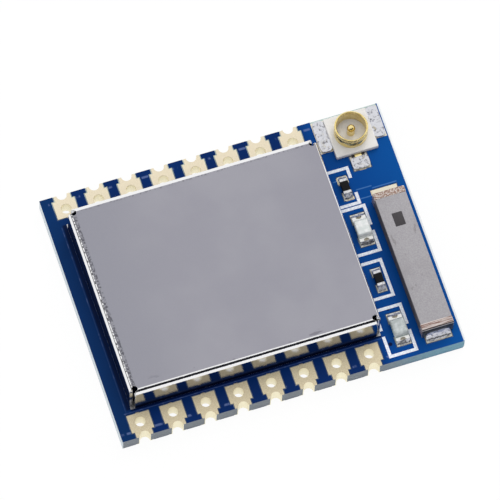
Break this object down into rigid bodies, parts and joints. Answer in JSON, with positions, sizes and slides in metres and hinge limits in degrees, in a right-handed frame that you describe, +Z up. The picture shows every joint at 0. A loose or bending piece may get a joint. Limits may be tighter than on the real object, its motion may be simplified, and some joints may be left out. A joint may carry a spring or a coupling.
{
  "type": "wifi module",
  "caption": "Small radio circuit board with half-hole solder terminals on two edges, a folded metal shield, a ceramic chip antenna and a coaxial antenna jack.",
  "frame": {"origin": "centre of the board's underside", "axes": "+X along the terminal rows towards the antenna end, +Y towards the edge with the jack, +Z up through the board"},
  "size_m": [0.021, 0.016, 0.0032],
  "materials": {
    "laminate": "sawn glass and resin edge",
    "copper": "copper foil",
    "solder_mask": "blue solder mask",
    "print": "white printed ink",
    "terminal_plating": "pale gold plating",
    "pad_plating": "pale gold plating",
    "shield_sheet": "satin tinned sheet",
    "ring_tin": "tinned copper",
    "solder": "bright solder",
    "jack_plastic": "cream moulded plastic",
    "jack_metal": "gold plating",
    "jack_lip_plastic": "dark moulded plastic",
    "ceramic": "grey fired ceramic",
    "ceramic_mark": "dark glaze",
    "band_metal": "fired silver band",
    "resistor_coat": "black glass coat",
    "cap_metal": "tinned cap",
    "lamp_plate": "pale green base",
    "lamp_contact": "plated contact",
    "lamp_die": "bare die",
    "lamp_resin": "milky clear resin",
    "chip_resin": "black moulded resin",
    "crystal_ceramic": "ceramic package",
    "crystal_lid": "plated lid",
    "capacitor_ceramic": "brown ceramic",
    "coil_ferrite": "dark ferrite"
  },
  "bodies": {
    "root": {"laminate": "laminate", "copper_top": "copper", "copper_bottom": "copper", "solder_mask_top": "solder_mask", "solder_mask_bottom": "solder_mask", "legend": "print", "front_terminal_1": "terminal_plating", "front_terminal_2": "terminal_plating", "front_terminal_3": "terminal_plating", "front_terminal_4": "terminal_plating", "front_terminal_5": "terminal_plating", "front_terminal_6": "terminal_plating", "front_terminal_7": "terminal_plating", "front_terminal_8": "terminal_plating", "back_terminal_1": "terminal_plating", "back_terminal_2": "terminal_plating", "back_terminal_3": "terminal_plating", "back_terminal_4": "terminal_plating", "back_terminal_5": "terminal_plating", "back_terminal_6": "terminal_plating", "back_terminal_7": "terminal_plating", "back_terminal_8": "terminal_plating", "shield_ring": "ring_tin", "shield_can": "shield_sheet", "shield_solder": "solder", "component_pads": "pad_plating", "inner_pads": "pad_plating", "jack_base": "jack_plastic", "jack_shell": "jack_metal", "jack_pin": "jack_metal", "jack_lip": "jack_lip_plastic", "jack_solder": "solder", "antenna_body": "ceramic", "antenna_bands": "band_metal", "antenna_mark": "ceramic_mark", "antenna_solder": "solder", "resistor_back": "resistor_coat", "resistor_back_caps": "cap_metal", "resistor_front": "resistor_coat", "resistor_front_caps": "cap_metal", "lamp_back_base": "lamp_plate", "lamp_back_contacts": "lamp_contact", "lamp_back_die": "lamp_die", "lamp_back_resin": "lamp_resin", "lamp_front_base": "lamp_plate", "lamp_front_contacts": "lamp_contact", "lamp_front_die": "lamp_die", "lamp_front_resin": "lamp_resin", "lamp_solder": "solder", "controller_chip": "chip_resin", "controller_lands": "cap_metal", "memory_chip": "chip_resin", "memory_leads": "cap_metal", "crystal_case": "crystal_ceramic", "crystal_lid": "crystal_lid", "inner_capacitors": "capacitor_ceramic", "inner_resistors": "resistor_coat", "inner_coil": "coil_ferrite", "inner_caps": "cap_metal"}
  },
  "joints": []
}
